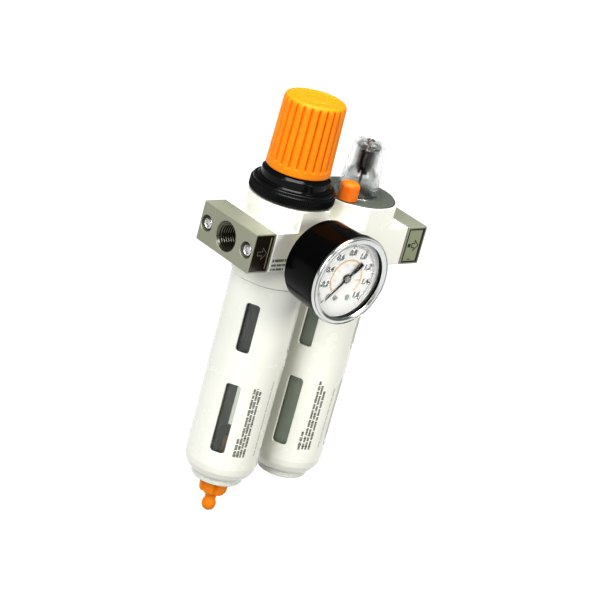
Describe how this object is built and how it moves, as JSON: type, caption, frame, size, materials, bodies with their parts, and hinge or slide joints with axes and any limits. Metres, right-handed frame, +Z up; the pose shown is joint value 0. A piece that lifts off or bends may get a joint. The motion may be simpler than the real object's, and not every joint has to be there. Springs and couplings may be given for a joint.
{
  "type": "compressed air filter-regulator and lubricator",
  "caption": "Compressed-air preparation unit: ribbed-knob filter-regulator with dial gauge beside a drip-feed lubricator, slotted bowl guards and port plates.",
  "frame": {"origin": "centre of the inlet port on the outer face of the inlet plate", "axes": "+X is the flow direction from inlet to outlet, -Y is the gauge side, +Z is up along the bowls towards the knob"},
  "size_m": [0.104, 0.0707, 0.2073],
  "materials": {
    "white_enamel": "gloss powder coat on die cast zinc",
    "plate_satin": "satin grey-beige cast",
    "steel": "zinc plated",
    "inlay_dark": "gloss",
    "inlay_green": "satin",
    "rubber": "moulded",
    "black_plastic": "semi-gloss moulded",
    "gauge_black": "gloss black",
    "orange_plastic": "satin moulded",
    "orange_plug": "satin moulded",
    "brass": "turned",
    "pressed_aluminium": "pressed",
    "natural_plastic": "moulded",
    "filter_media": "sintered",
    "clear_bowl": "clear polycarbonate",
    "clear_dome": "clear polycarbonate",
    "lens_clear": "clear",
    "bezel_bright": "bright",
    "dial_white": "printed",
    "needle_black": "black",
    "cover_grey": "fine grained",
    "amber_sleeve": "tinted"
  },
  "bodies": {
    "root": {"baffle": "black_plastic", "bonnet": "black_plastic", "bourdon_tube": "brass", "diaphragm": "rubber", "diaphragm_plate": "pressed_aluminium", "drip_sleeve": "amber_sleeve", "drip_tube": "clear_dome", "filter_element": "filter_media", "gauge_bezel": "bezel_bright", "gauge_case": "gauge_black", "gauge_dial": "dial_white", "gauge_lens": "lens_clear", "gauge_movement": "brass", "gauge_socket": "brass", "inlet_inlay": "inlay_dark", "inlet_plate": "plate_satin", "inlet_screw_front": "steel", "inlet_screw_rear": "steel", "inlet_seal": "rubber", "joining_stud_front": "steel", "joining_stud_rear": "steel", "lubricator_body": "white_enamel", "lubricator_cover": "cover_grey", "middle_seal": "rubber", "outlet_inlay": "inlay_green", "outlet_plate": "plate_satin", "outlet_screw_front": "steel", "outlet_screw_rear": "steel", "outlet_seal": "rubber", "rear_port_plug": "steel", "regulating_spring": "steel", "regulator_body": "white_enamel", "sight_dome": "clear_dome", "siphon_strainer": "filter_media", "siphon_tube": "natural_plastic", "swirl_vane": "natural_plastic", "valve_guide": "natural_plastic", "valve_spring": "steel", "venturi_insert": "brass"},
    "spindle": {"adjusting_spindle": "steel"},
    "knob": {"adjusting_knob": "orange_plastic"},
    "spring_nut": {"spring_nut": "brass"},
    "panel_nut": {"panel_nut": "black_plastic"},
    "valve": {"valve_poppet": "brass"},
    "needle": {"gauge_needle": "needle_black", "gauge_arbor": "brass"},
    "sector": {"gauge_sector": "brass"},
    "link": {"gauge_link": "brass"},
    "filter_bowl": {"filter_bowl": "clear_bowl", "filter_bowl_guard": "white_enamel", "filter_bowl_seal": "rubber", "drain_seal": "rubber"},
    "drain_knob": {"drain_knob": "orange_plastic"},
    "drain_stem": {"drain_stem": "orange_plastic"},
    "lubricator_bowl": {"lubricator_bowl": "clear_bowl", "lubricator_bowl_guard": "white_enamel", "lubricator_bowl_seal": "rubber"},
    "fill_plug": {"oil_fill_plug": "orange_plug"},
    "drip_needle": {"drip_needle": "brass"}
  },
  "joints": [
    {"name": "spindle_turn", "type": "hinge", "parent": "root", "child": "spindle", "pos_m": [0.032, 0, 0.032], "axis": [0, 0, -1], "range_deg": [0, 1800]},
    {"name": "knob_lift", "type": "slide", "parent": "spindle", "child": "knob", "axis": [0, 0, 1], "range_m": [0, 0.003]},
    {"name": "spring_nut_travel", "type": "slide", "parent": "root", "child": "spring_nut", "axis": [0, 0, -1], "range_m": [0, 0.0079], "deforming": ["regulating_spring"]},
    {"name": "panel_nut_turn", "type": "hinge", "parent": "root", "child": "panel_nut", "pos_m": [0.032, 0, 0.0228], "axis": [0, 0, 1], "range_deg": [0, 720]},
    {"name": "valve_lift", "type": "slide", "parent": "root", "child": "valve", "axis": [0, 0, -1], "range_m": [0, 0.0012], "stiffness_N_per_m": 300, "springref_m": -0.002, "deforming": ["valve_spring"]},
    {"name": "needle_turn", "type": "hinge", "parent": "root", "child": "needle", "pos_m": [0.032, -0.0476, 0], "axis": [0, 1, 0], "range_deg": [0, 270], "stiffness_Nm_per_rad": 0.0002, "springref_deg": -28.65},
    {"name": "sector_turn", "type": "hinge", "parent": "root", "child": "sector", "pos_m": [0.02334, -0.0376, -0.00866], "axis": [0, 1, 0], "range_deg": [-45.2, 0]},
    {"name": "link_turn", "type": "hinge", "parent": "sector", "child": "link", "pos_m": [0.02194, -0.039, -0.00624], "axis": [0, 1, 0], "range_deg": [0, 45.2]},
    {"name": "filter_bowl_turn", "type": "hinge", "parent": "root", "child": "filter_bowl", "pos_m": [0.032, 0, -0.02], "axis": [0, 0, 1], "range_deg": [0, 30]},
    {"name": "drain_turn", "type": "hinge", "parent": "filter_bowl", "child": "drain_knob", "pos_m": [0.032, 0, -0.1238], "axis": [0, 0, 1], "range_deg": [0, 270]},
    {"name": "drain_stem_lift", "type": "slide", "parent": "filter_bowl", "child": "drain_stem", "axis": [0, 0, 1], "range_m": [0, 0.0014]},
    {"name": "lubricator_bowl_turn", "type": "hinge", "parent": "root", "child": "lubricator_bowl", "pos_m": [0.072, 0, -0.02], "axis": [0, 0, 1], "range_deg": [0, 30]},
    {"name": "fill_plug_turn", "type": "hinge", "parent": "root", "child": "fill_plug", "pos_m": [0.0592, -0.0077, 0.0198], "axis": [0, 0, 1], "range_deg": [0, 1080]},
    {"name": "drip_needle_turn", "type": "hinge", "parent": "root", "child": "drip_needle", "pos_m": [0.072, 0, 0.0432], "axis": [0, 0, 1], "range_deg": [0, 900]}
  ],
  "couplings": [
    {"joint": "spindle_turn", "follows": "spring_nut_travel", "rad_per_m": 3937},
    {"joint": "sector_turn", "follows": "needle_turn", "ratio": -0.16667},
    {"joint": "link_turn", "follows": "needle_turn", "ratio": 0.16667},
    {"joint": "drain_turn", "follows": "drain_stem_lift", "rad_per_m": 3333.3}
  ]
}
